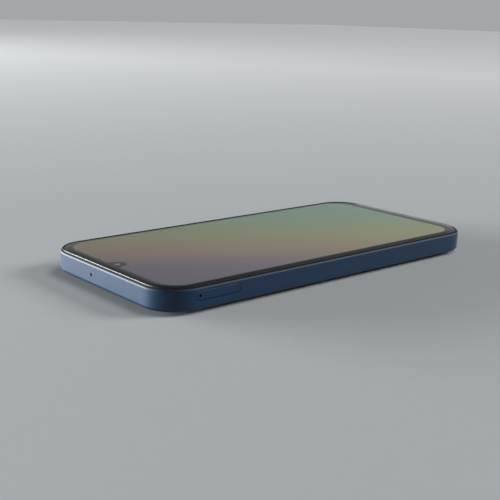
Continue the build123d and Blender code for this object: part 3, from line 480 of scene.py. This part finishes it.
def lamp_finish():
    """White ceramic body round a square of yellow phosphor."""
    lamp = Paint("flash_lamp_finish", IOR=1.6)
    x, y, _ = lamp.axes(lamp.place(FLASH))
    reach = lamp.maths("MAXIMUM", lamp.maths("ABSOLUTE", x), lamp.maths("ABSOLUTE", y))
    phosphor = lamp.spread(reach, 0.85 * MM, 0.80 * MM)
    grain = lamp.noise(4000, detail=2.0)
    glow = lamp.blend(grain, (0.80, 0.60, 0.06), (0.90, 0.72, 0.14))
    lamp.set(Base_Color=lamp.blend(phosphor, (0.78, 0.78, 0.76), glow))
    lamp.set(Roughness=lamp.spread(grain, 0.3, 0.7, 0.45, 0.65))
    return lamp.material


def layered_display():
    """Edge and back of the display: black film with a faint woven grid of electrodes."""
    panel = Paint("display_layers", IOR=1.5)
    grid = panel.maths("MULTIPLY", panel.stripes(0.3 * MM, "X"), panel.stripes(0.3 * MM, "Y"))
    panel.set(Base_Color=panel.blend(grid, (0.008, 0.008, 0.010), (0.022, 0.022, 0.028)))
    panel.set(Roughness=panel.spread(grid, 0.0, 1.0, 0.12, 0.22))
    return panel.material


black_plastic = moulded_plastic("black_plastic", (0.014, 0.014, 0.015))
fine_black = moulded_plastic("fine_black_plastic", (0.008, 0.008, 0.009), roughness=0.35)
tin_plate = sheet_metal("tin_plated_steel", (0.62, 0.62, 0.60), 0.26)
spring_steel = sheet_metal("spring_steel", (0.55, 0.55, 0.56), 0.22, direction=(0.1, 1, 1))
mesh_steel = sheet_metal("blackened_mesh_steel", (0.12, 0.12, 0.13), 0.34)
gold = sheet_metal("gold_plate", (0.90, 0.66, 0.28), 0.18, grain_scale=5200)
board_finish = circuit_board()
foam = soft_rubber("foam_tape", (0.022, 0.022, 0.023), 4200)
rubber = soft_rubber("silicone_rubber", (0.030, 0.031, 0.034), 9000, roughness=0.6)

dress(frame_paint(), "side_frame", "power_button", "volume_rocker")
dress(tray_paint(), "sim_tray")
dress(cover_paint(), "rear_cover")
dress(bonded_glass(), "cover_glass")
dress(layered_display(), "display_panel")
dress(foam, "rear_cover_adhesive", "display_adhesive")
dress(rubber, "sim_tray_seal", "microphone_boots")
dress(cast_metal(), "mid_plate")
dress(clear_glass("camera_window_glass"), *(f"{site}_camera_window" for site in CAMERA_SITES))
for site in CAMERA_SITES:
    ring = f"{site}_camera_ring"
    dress(turned_metal(f"{ring}_metal", middle(ring), (0.040, 0.085, 0.20)), ring)
dress(moulded_plastic("sensor_navy", (0.007, 0.022, 0.070), 0.22, 9000), "fingerprint_sensor")
dress(lamp_finish(), "flash_lamp")
dress(board_finish, "main_board", "sub_board", "battery_protection_board")
dress(tin_plate, "processor_shield", "radio_shield", "power_shield", "sim_socket", "microphones")
dress(spring_steel, "side_key_bracket", "ejector_rod", "ejector_lever", "eject_plate")
dress(sheet_metal("motor_steel", (0.58, 0.58, 0.57), 0.2), "motor_can", "motor_base", "usb_c_shell")
dress(sheet_metal("tungsten", (0.30, 0.30, 0.31), 0.34, grain_scale=1800), "motor_rotor")
dress(sheet_metal("blackened_screw_steel", (0.16, 0.16, 0.165), 0.28, grain_scale=6000), "screws")
dress(flexible_circuit("display_flex_film", "X"), "display_flex")
dress(flexible_circuit("main_flex_film", "X"), "main_flex")
dress(flexible_circuit("key_flex_film", "Z"), "side_key_flex")
dress(coax_finish(), "antenna_coax")
dress(foil_pouch(), "battery")
dress(black_plastic, "upper_bracket", "lower_bracket", "loudspeaker", "headphone_jack")
dress(fine_black, "usb_c_tongue", "main_camera", "wide_camera", "close_up_camera")
dress(fine_black, "front_camera", "focus_barrel", "earpiece_receiver")
dress(gold, "usb_c_contacts", "sim_contacts")
dress(moulded_plastic("card_white_plastic", (0.62, 0.62, 0.60), 0.3, 6000), "sim_card")

# ---------------------------------------------------------------- mesh steps


def make_piece(name, mesh, material, body, smooth_angle=None, replaces=None):
    """Put a built bmesh into the scene as a piece that rides on a body."""
    bmesh.ops.recalc_face_normals(mesh, faces=mesh.faces)
    data = bpy.data.meshes.new(name)
    mesh.to_mesh(data)
    mesh.free()
    data.materials.append(material)
    if smooth_angle:
        data.shade_smooth()
        data.set_sharp_from_angle(angle=math.radians(smooth_angle))
    piece = bpy.data.objects.new(name, data)
    bpy.context.scene.collection.objects.link(piece)
    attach(piece, body)
    if replaces:
        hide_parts(replaces)


def add_turned(mesh, profile, centre, segments=96, turn=Matrix.Identity(3)):
    """Add a body turned from (radius, height) points about the Z axis at a centre."""
    rings = []
    for radius, height in profile:
        if radius == 0:
            rings.append([mesh.verts.new(centre + turn @ Vector((0, 0, height)))])
            continue
        ring = []
        for i in range(segments):
            point = radius * toward(2 * math.pi * i / segments, 0) + Vector((0, 0, height))
            ring.append(mesh.verts.new(centre + turn @ point))
        rings.append(ring)
    # A profile that starts on the axis also ends there, and any other closes on itself
    starts_on_axis = profile[0][0] == 0
    pairs = list(zip(rings, rings[1:] + rings[:1]))
    for first, second in pairs[:-1] if starts_on_axis else pairs:
        for i in range(segments):
            j = (i + 1) % segments
            corners = [first[i % len(first)], first[j % len(first)]]
            corners += [second[j % len(second)], second[i % len(second)]]
            mesh.faces.new(dict.fromkeys(corners))


def add_box(mesh, low, high, bevel=0.0):
    """Add an upright box between two corners, with its edges bevelled."""
    corners = bmesh.ops.create_cube(mesh, size=1.0)["verts"]
    size = Vector(high) - Vector(low)
    for corner in corners:
        corner.co = Vector(low) + size / 2 + Vector(c * s for c, s in zip(corner.co, size))
    if bevel:
        edges = {edge for corner in corners for edge in corner.link_edges}
        bmesh.ops.bevel(mesh, geom=list(edges), offset=bevel, segments=2, affect="EDGES")


def sort_by_place(mesh):
    """Sort a mesh's elements by place, because some operators leave them in a varying order."""
    for elements in (mesh.verts, mesh.edges, mesh.faces):
        places = {}
        for element in elements:
            points = [vert.co for vert in getattr(element, "verts", [element])]
            places[element] = tuple(sum(axis) for axis in zip(*points))
        rank = {element: i for i, element in enumerate(sorted(places, key=places.get))}
        elements.sort(key=rank.get)
        elements.index_update()


def perforated_sheet(low, high, pitch, hole):
    """Make a thin sheet with rows of eight-sided holes: across is X, and up is Y or Z."""
    size = high - low
    up = 1 if size.y > size.z else 2
    thin = 3 - up
    columns = round(size.x / pitch)
    rows = max(1, round(size[up] / pitch))
    step_x = size.x / columns
    step_up = size[up] / rows
    mesh = bmesh.new()

    def point(across, rise):
        place = Vector((low.x + across, 0, 0))
        place[up] = low[up] + rise
        place[thin] = low[thin]
        return mesh.verts.new(place)

    outline = [(-1, -1), (0, -1), (1, -1), (1, 0), (1, 1), (0, 1), (-1, 1), (-1, 0)]
    for column in range(columns):
        for row in range(rows):
            x = (column + 0.5) * step_x
            y = (row + 0.5) * step_up
            outer = [point(x + a * step_x / 2, y + b * step_up / 2) for a, b in outline]
            inner = []
            for a, b in outline:
                scale = hole / 2 / math.hypot(a, b)
                inner.append(point(x + a * scale, y + b * scale))
            for i in range(len(outline)):
                j = (i + 1) % len(outline)
                mesh.faces.new((outer[i], outer[j], inner[j], inner[i]))
    bmesh.ops.remove_doubles(mesh, verts=mesh.verts, dist=pitch / 50)
    bmesh.ops.recalc_face_normals(mesh, faces=mesh.faces)
    made = bmesh.ops.extrude_face_region(mesh, geom=mesh.faces[:], use_keep_orig=True)
    shift = Vector((0, 0, 0))
    shift[thin] = size[thin]
    moved = [item for item in made["geom"] if isinstance(item, bmesh.types.BMVert)]
    bmesh.ops.translate(mesh, verts=moved, vec=shift)
    sort_by_place(mesh)
    return mesh


# ---------------------------------------------------------------- black trim round the glass

BODY_CORNER = 12.8 * MM
ARC_STEPS = 32
TRIM_OUTER = 0.87 * MM
TRIM_INNER = 0.95 * MM
TRIM_LOW_Z = GLASS_LOW.z
TRIM_HIGH_Z = GLASS_HIGH.z - 0.02 * MM
TRIM_SLOPE_HEIGHT = 0.10 * MM
TRIM_SLOPE_INSET = TRIM_SLOPE_HEIGHT * math.tan(math.radians(14))


def outline_band(profile):
    """Make a closed band round the body's plan from a profile of (inset, height) points."""
    corner_x = FRAME_HIGH.x - BODY_CORNER
    corner_y = FRAME_HIGH.y - BODY_CORNER
    loops = []
    mesh = bmesh.new()
    for quarter, (side_x, side_y) in enumerate(((1, 1), (-1, 1), (-1, -1), (1, -1))):
        for step in range(ARC_STEPS + 1):
            out = toward((quarter + step / ARC_STEPS) * math.pi / 2, 0)
            loops.append([
                mesh.verts.new(
                    Vector((side_x * corner_x, side_y * corner_y, height))
                    + (BODY_CORNER - inset) * out
                )
                for inset, height in profile
            ])
    for first, second in zip(loops, loops[1:] + loops[:1]):
        for i in range(len(profile)):
            j = (i + 1) % len(profile)
            mesh.faces.new((first[i], first[j], second[j], second[i]))
    return mesh


trim_profile = [
    (TRIM_OUTER, TRIM_LOW_Z),
    (TRIM_OUTER, TRIM_HIGH_Z - TRIM_SLOPE_HEIGHT),
    (TRIM_OUTER + TRIM_SLOPE_INSET, TRIM_HIGH_Z),
    (TRIM_INNER, TRIM_HIGH_Z),
    (TRIM_INNER, TRIM_LOW_Z),
]
trim = outline_band(trim_profile)
trim_black = moulded_plastic("trim_satin_black", (0.003, 0.003, 0.0035), 0.38, 9000)
make_piece("glass_trim", trim, trim_black, "root", smooth_angle=8)

# ---------------------------------------------------------------- meshes over the sound outlets

# Pitch and diameter of each mesh's holes
SOUND_MESHES = {
    "speaker_mesh": (0.46 * MM, 0.29 * MM),
    "earpiece_mesh": (0.40 * MM, 0.25 * MM),
}
for name, (pitch, hole) in SOUND_MESHES.items():
    sheet = perforated_sheet(*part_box(name), pitch, hole)
    make_piece(f"{name}_perforated", sheet, mesh_steel, "root", replaces=name)

# ---------------------------------------------------------------- snap domes under the side keys

DOME_STEPS = 8
# The flat edge of a dome, as a share of its rise
DOME_EDGE = 0.08

domes_low, domes_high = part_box("key_domes")
dome_radius = (domes_high.z - domes_low.z) / 2
dome_rise = domes_high.x - domes_low.x
dome_z = (domes_high.z + domes_low.z) / 2
lower_key_y = domes_low.y + dome_radius
upper_key_y = domes_high.y - dome_radius
middle_key_y = 2 * middle("volume_rocker").y - upper_key_y
along_x = Matrix.Rotation(math.pi / 2, 3, "Y")
dome_profile = [(0, 0), (dome_radius, 0), (dome_radius, DOME_EDGE * dome_rise)]
for i in range(1, DOME_STEPS + 1):
    share = i / DOME_STEPS
    rise = DOME_EDGE + (1 - DOME_EDGE) * math.sin(share * math.pi / 2)
    dome_profile.append((dome_radius * (1 - share), dome_rise * rise))
domes = bmesh.new()
for y in (lower_key_y, middle_key_y, upper_key_y):
    dome_centre = Vector((domes_low.x, y, dome_z))
    add_turned(domes, dome_profile, dome_centre, segments=48, turn=along_x)
make_piece(
    "key_domes_pressed", domes, spring_steel, "root",
    smooth_angle=40, replaces="key_domes",
)

# ---------------------------------------------------------------- chips on the main board

# Each can's chips, as shares of the can's floor: x and y of the middle, width and depth
CHIPS = {
    "processor_shield": (
        (0.34, 0.50, 0.44, 0.56), (0.74, 0.68, 0.24, 0.36), (0.74, 0.26, 0.20, 0.26),
    ),
    "radio_shield": (
        (0.30, 0.74, 0.36, 0.26), (0.70, 0.70, 0.24, 0.22), (0.46, 0.32, 0.46, 0.24),
    ),
    "power_shield": (
        (0.36, 0.24, 0.44, 0.22), (0.64, 0.56, 0.34, 0.18), (0.36, 0.82, 0.36, 0.16),
    ),
}
CHIP_HEIGHT = 0.75 * MM
CHIP_BEVEL = 0.06 * MM

chip_black = moulded_plastic("chip_black_epoxy", (0.018, 0.018, 0.019), 0.42, 7000)
chips = bmesh.new()
for can, sites in CHIPS.items():
    low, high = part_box(can)
    size = high - low
    on_top = low.z > BOARD_LOW.z
    chip_low_z = BOARD_HIGH.z if on_top else BOARD_LOW.z - CHIP_HEIGHT
    for x, y, width, depth in sites:
        centre = Vector((low.x + x * size.x, low.y + y * size.y, chip_low_z + CHIP_HEIGHT / 2))
        half = Vector((width * size.x, depth * size.y, CHIP_HEIGHT)) / 2
        add_box(chips, centre - half, centre + half, bevel=CHIP_BEVEL)
make_piece("main_board_chips", chips, chip_black, "root")

# ---------------------------------------------------------------- gold pads under the SIM card

PAD_SIZE = (2.1 * MM, 1.7 * MM)
PAD_PITCH = (2.5 * MM, 2.1 * MM)
PAD_THICKNESS = 0.03 * MM

card_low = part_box("sim_card")[0]
card_middle = middle("sim_card")
pads = bmesh.new()
for column in (-1.5, -0.5, 0.5, 1.5):
    for row in (-1, 0, 1):
        x = card_middle.x + column * PAD_PITCH[0]
        y = card_middle.y + row * PAD_PITCH[1]
        corner = Vector((x - PAD_SIZE[0] / 2, y - PAD_SIZE[1] / 2, card_low.z - PAD_THICKNESS))
        add_box(pads, corner, corner + Vector((*PAD_SIZE, PAD_THICKNESS)))
make_piece("sim_card_pads", pads, gold, "sim_tray")

# ---------------------------------------------------------------- rear cameras

# Each camera's body, the radius of the cone in its barrel and the opening of its black mask
CAMERAS = {
    "upper": ("focus_barrel", 1.90 * MM, 3.60 * MM),
    "middle": ("root", 1.65 * MM, 3.15 * MM),
    "lower": ("root", 1.32 * MM, 2.55 * MM),
}
BARREL_FACE_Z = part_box("focus_barrel")[0].z
WINDOW_LOW, WINDOW_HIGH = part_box("upper_camera_window")
MASK_GAP = 0.01 * MM
MASK_THICKNESS = 0.05 * MM
MASK_RADIUS = (WINDOW_HIGH.x - WINDOW_LOW.x) / 2 - 0.05 * MM
ELEMENT_GAP = 0.06 * MM
ELEMENT_DOME = 0.26 * MM
ELEMENT_BACK = 0.45 * MM
ELEMENT_TAPER = 0.26 * MM
ELEMENT_BACK_DOME = 0.12 * MM
ELEMENT_STEPS = 12
RING_STEPS = 4
RING_STEP_WIDTH = 0.24 * MM
RING_STEP_RISE = 0.035 * MM
RING_HEIGHT = 0.05 * MM
RING_SIDE_GAP = 0.02 * MM
RING_FACE_GAP = 0.01 * MM


def mask_profile(opening):
    """The black mask printed behind a camera's window."""
    low_z = WINDOW_HIGH.z + MASK_GAP
    high_z = low_z + MASK_THICKNESS
    return [(opening, low_z), (MASK_RADIUS, low_z), (MASK_RADIUS, high_z), (opening, high_z)]


def element_profile(cone_radius):
    """The domed front element, held in the barrel's cone."""
    rim = cone_radius - ELEMENT_GAP
    rim_z = BARREL_FACE_Z + ELEMENT_GAP
    profile = []
    for i in range(ELEMENT_STEPS + 1):
        angle = math.pi / 2 * i / ELEMENT_STEPS
        profile.append((rim * math.sin(angle), rim_z - ELEMENT_DOME * math.cos(angle)))
    back_z = BARREL_FACE_Z + ELEMENT_BACK
    return profile + [(rim - ELEMENT_TAPER, back_z), (0, back_z - ELEMENT_BACK_DOME)]


def ring_profile(cone_radius):
    """The stepped retaining ring on the barrel's face."""
    foot_z = BARREL_FACE_Z - RING_FACE_GAP
    profile = [(cone_radius + RING_SIDE_GAP, foot_z)]
    for i in range(RING_STEPS):
        inner_radius = cone_radius + RING_SIDE_GAP + i * RING_STEP_WIDTH
        top_z = BARREL_FACE_Z - RING_HEIGHT - i * RING_STEP_RISE
        profile += [(inner_radius, top_z), (inner_radius + RING_STEP_WIDTH, top_z)]
    return profile + [(profile[-1][0], foot_z)]


lens_coating = clear_glass("coated_lens_glass", tint=(0.16, 0.20, 0.42), ior=1.7)
mask_black = moulded_plastic(
    "printed_mask_black", (0.004, 0.004, 0.005), 0.16, 900, relief=0.02)

for site, (body, cone_radius, opening) in CAMERAS.items():
    centre = middle(f"{site}_camera_window")
    centre.z = 0
    element = element_profile(cone_radius)
    ring = ring_profile(cone_radius)
    for name, profile, material, carrier, slot, angle in (
        ("window_mask", mask_profile(opening), mask_black, "root", "window_glass", 30),
        ("front_element", element, lens_coating, body, "window_glass", 35),
        ("lens_ring", ring, fine_black, body, "black_plastic", 30),
    ):
        turned = bmesh.new()
        add_turned(turned, profile, centre)
        make_piece(f"{site}_{name}", turned, material, carrier, smooth_angle=angle)

# ---------------------------------------------------------------- flash lens with ridges

RIDGES = 6
RIDGE_DEPTH = 0.14 * MM
RIDGE_RUN = 0.02 * MM

flash_low, flash_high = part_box("flash_lens")
flash_radius = (flash_high.x - flash_low.x) / 2
ridge_width = flash_radius / (RIDGES + 1)
flash_profile = [(0, flash_high.z), (flash_radius, flash_high.z), (flash_radius, flash_low.z)]
for i in range(RIDGES, 0, -1):
    radius = i * ridge_width
    flash_profile += [(radius + RIDGE_RUN, flash_low.z), (radius, flash_low.z + RIDGE_DEPTH)]
flash_profile.append((0, flash_low.z + RIDGE_RUN))
flash = bmesh.new()
add_turned(flash, flash_profile, Vector((FLASH.x, FLASH.y, 0)))
flash_clear = clear_glass("flash_clear_plastic", tint=(1.0, 0.98, 0.90), ior=1.49)
make_piece(
    "flash_lens_ridged", flash, flash_clear, "root",
    smooth_angle=25, replaces="flash_lens",
)

# ---------------------------------------------------------------- camera, floor and light

CAMERA_AZIMUTH = math.radians(139.19)
CAMERA_ELEVATION = math.radians(14.49)
CAMERA_ROLL = math.radians(1.53)
CAMERA_DISTANCE = 374.14 * MM
CAMERA_LENS = 66.29
CAMERA_ASIDE = -8.743 * MM
CAMERA_RAISED = -1.393 * MM


def make_camera():
    """Place the camera by its direction from the handset's middle, its roll and its framing."""
    target = Vector((0, 0, GLASS_HIGH.z / 2))
    out = toward(CAMERA_AZIMUTH, CAMERA_ELEVATION)
    level_right = (-out).cross(Vector((0, 0, 1))).normalized()
    level_up = level_right.cross(-out)
    right = math.cos(CAMERA_ROLL) * level_right + math.sin(CAMERA_ROLL) * level_up
    up = math.cos(CAMERA_ROLL) * level_up - math.sin(CAMERA_ROLL) * level_right
    place = target + CAMERA_DISTANCE * out + CAMERA_ASIDE * right + CAMERA_RAISED * up
    camera = bpy.data.objects.new("camera", bpy.data.cameras.new("camera"))
    bpy.context.scene.collection.objects.link(camera)
    camera.data.lens = CAMERA_LENS
    camera.data.sensor_width = 36.0
    camera.data.clip_start = 0.01
    camera.matrix_world = Matrix.Translation(place) @ Matrix((right, up, out)).transposed().to_4x4()
    bpy.context.scene.camera = camera


FLOOR_HALF_SIDE = 6.0
# Painted light: the floor grows paler in this direction, over these distances from the handset
FLOOR_AZIMUTH = -60
FLOOR_LIGHT_FADE = (0.05, 1.3)
FLOOR_NEAR = ((0.345, 0.368, 0.380), (0.365, 0.388, 0.400))
FLOOR_FAR_PAINTED_LIGHT = (0.60, 0.62, 0.63)


def make_floor():
    """Lay a pale floor under the handset, with painted light that makes it paler with distance in
    one direction.
    """
    mesh = bpy.data.meshes.new("floor")
    signs = ((-1, -1), (1, -1), (1, 1), (-1, 1))
    corners = [(x * FLOOR_HALF_SIDE, y * FLOOR_HALF_SIDE, cad_low.z) for x, y in signs]
    mesh.from_pydata(corners, [], [(0, 1, 2, 3)])
    floor = bpy.data.objects.new("floor", mesh)
    bpy.context.scene.collection.objects.link(floor)
    paper = Paint("pale_floor", Roughness=0.8)
    x, y, _ = paper.axes()
    away = toward(math.radians(FLOOR_AZIMUTH), 0)
    along_x = paper.maths("MULTIPLY", x, away.x)
    distance = paper.maths("MULTIPLY_ADD", y, away.y, along_x)
    near_tone = paper.blend(paper.noise(300, detail=3.0), *FLOOR_NEAR)
    # Painted light: blend into the paler far tone with distance
    paper.set(Base_Color=paper.blend(paper.spread(distance, *FLOOR_LIGHT_FADE), near_tone, FLOOR_FAR_PAINTED_LIGHT))
    mesh.materials.append(paper.material)
    floor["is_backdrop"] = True


def make_light(name, kind, azimuth, elevation, distance=0.0, **settings):
    """Aim a light at the handset from a direction in degrees. A sun needs no distance."""
    light = bpy.data.lights.new(name, kind)
    for key, value in settings.items():
        setattr(light, key, value)
    lamp = bpy.data.objects.new(name, light)
    bpy.context.scene.collection.objects.link(lamp)
    direction = toward(math.radians(azimuth), math.radians(elevation))
    lamp.location = distance * direction
    lamp.rotation_mode = "QUATERNION"
    lamp.rotation_quaternion = direction.to_track_quat("Z", "Y")


# The room's soft light: a pale band above the horizon, brightest on one side. The band is
# at its full up to one elevation and gone at the next, and the bright side fades by facing.
ROOM_TINT = (0.95, 0.99, 1.0, 1)
ROOM_DIM = 0.05
ROOM_BRIGHT = 0.39
ROOM_AZIMUTH = -40
FACING_FADE = (-0.6, 0.7)
BAND_FULL = 8
BAND_END = 34


def make_world():
    """Surround the scene with a dim room and a pale band of wall behind the handset."""
    world = bpy.data.worlds.new("studio")
    bpy.context.scene.world = world
    world.use_nodes = True
    nodes = world.node_tree.nodes
    links = world.node_tree.links

    def spread(value, *numbers):
        made = nodes.new("ShaderNodeMapRange")
        made.interpolation_type = "SMOOTHSTEP"
        links.new(value, made.inputs["Value"])
        for socket, number in zip(made.inputs[1:5], numbers):
            if isinstance(number, bpy.types.NodeSocket):
                links.new(number, socket)
            else:
                socket.default_value = number
        return made.outputs["Result"]

    direction = nodes.new("ShaderNodeTexCoord").outputs["Generated"]
    facing = nodes.new("ShaderNodeVectorMath")
    facing.operation = "DOT_PRODUCT"
    links.new(direction, facing.inputs[0])
    facing.inputs[1].default_value = toward(math.radians(ROOM_AZIMUTH), 0)
    height = nodes.new("ShaderNodeSeparateXYZ")
    links.new(direction, height.inputs[0])
    wall = spread(facing.outputs["Value"], *FACING_FADE, ROOM_DIM, ROOM_BRIGHT)
    band = (math.sin(math.radians(BAND_FULL)), math.sin(math.radians(BAND_END)))
    strength = spread(height.outputs["Z"], *band, wall, ROOM_DIM)
    background = nodes["Background"]
    background.inputs["Color"].default_value = ROOM_TINT
    links.new(strength, background.inputs["Strength"])


make_camera()
make_floor()
make_world()
bpy.context.scene.view_settings.view_transform = "Standard"
make_light("ceiling_light", "SUN", -128, 62, angle=math.radians(30), energy=1.2)
make_light("right_light", "SUN", -120, 25, angle=math.radians(20), energy=2.5)
make_light(
    "left_softbox", "AREA", 36, 4.5, distance=2.5,
    shape="RECTANGLE", size=2.25, size_y=0.35, energy=236, color=(0.98, 1.0, 0.99),
)

# ---------------------------------------------------------------- finish

low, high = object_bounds()
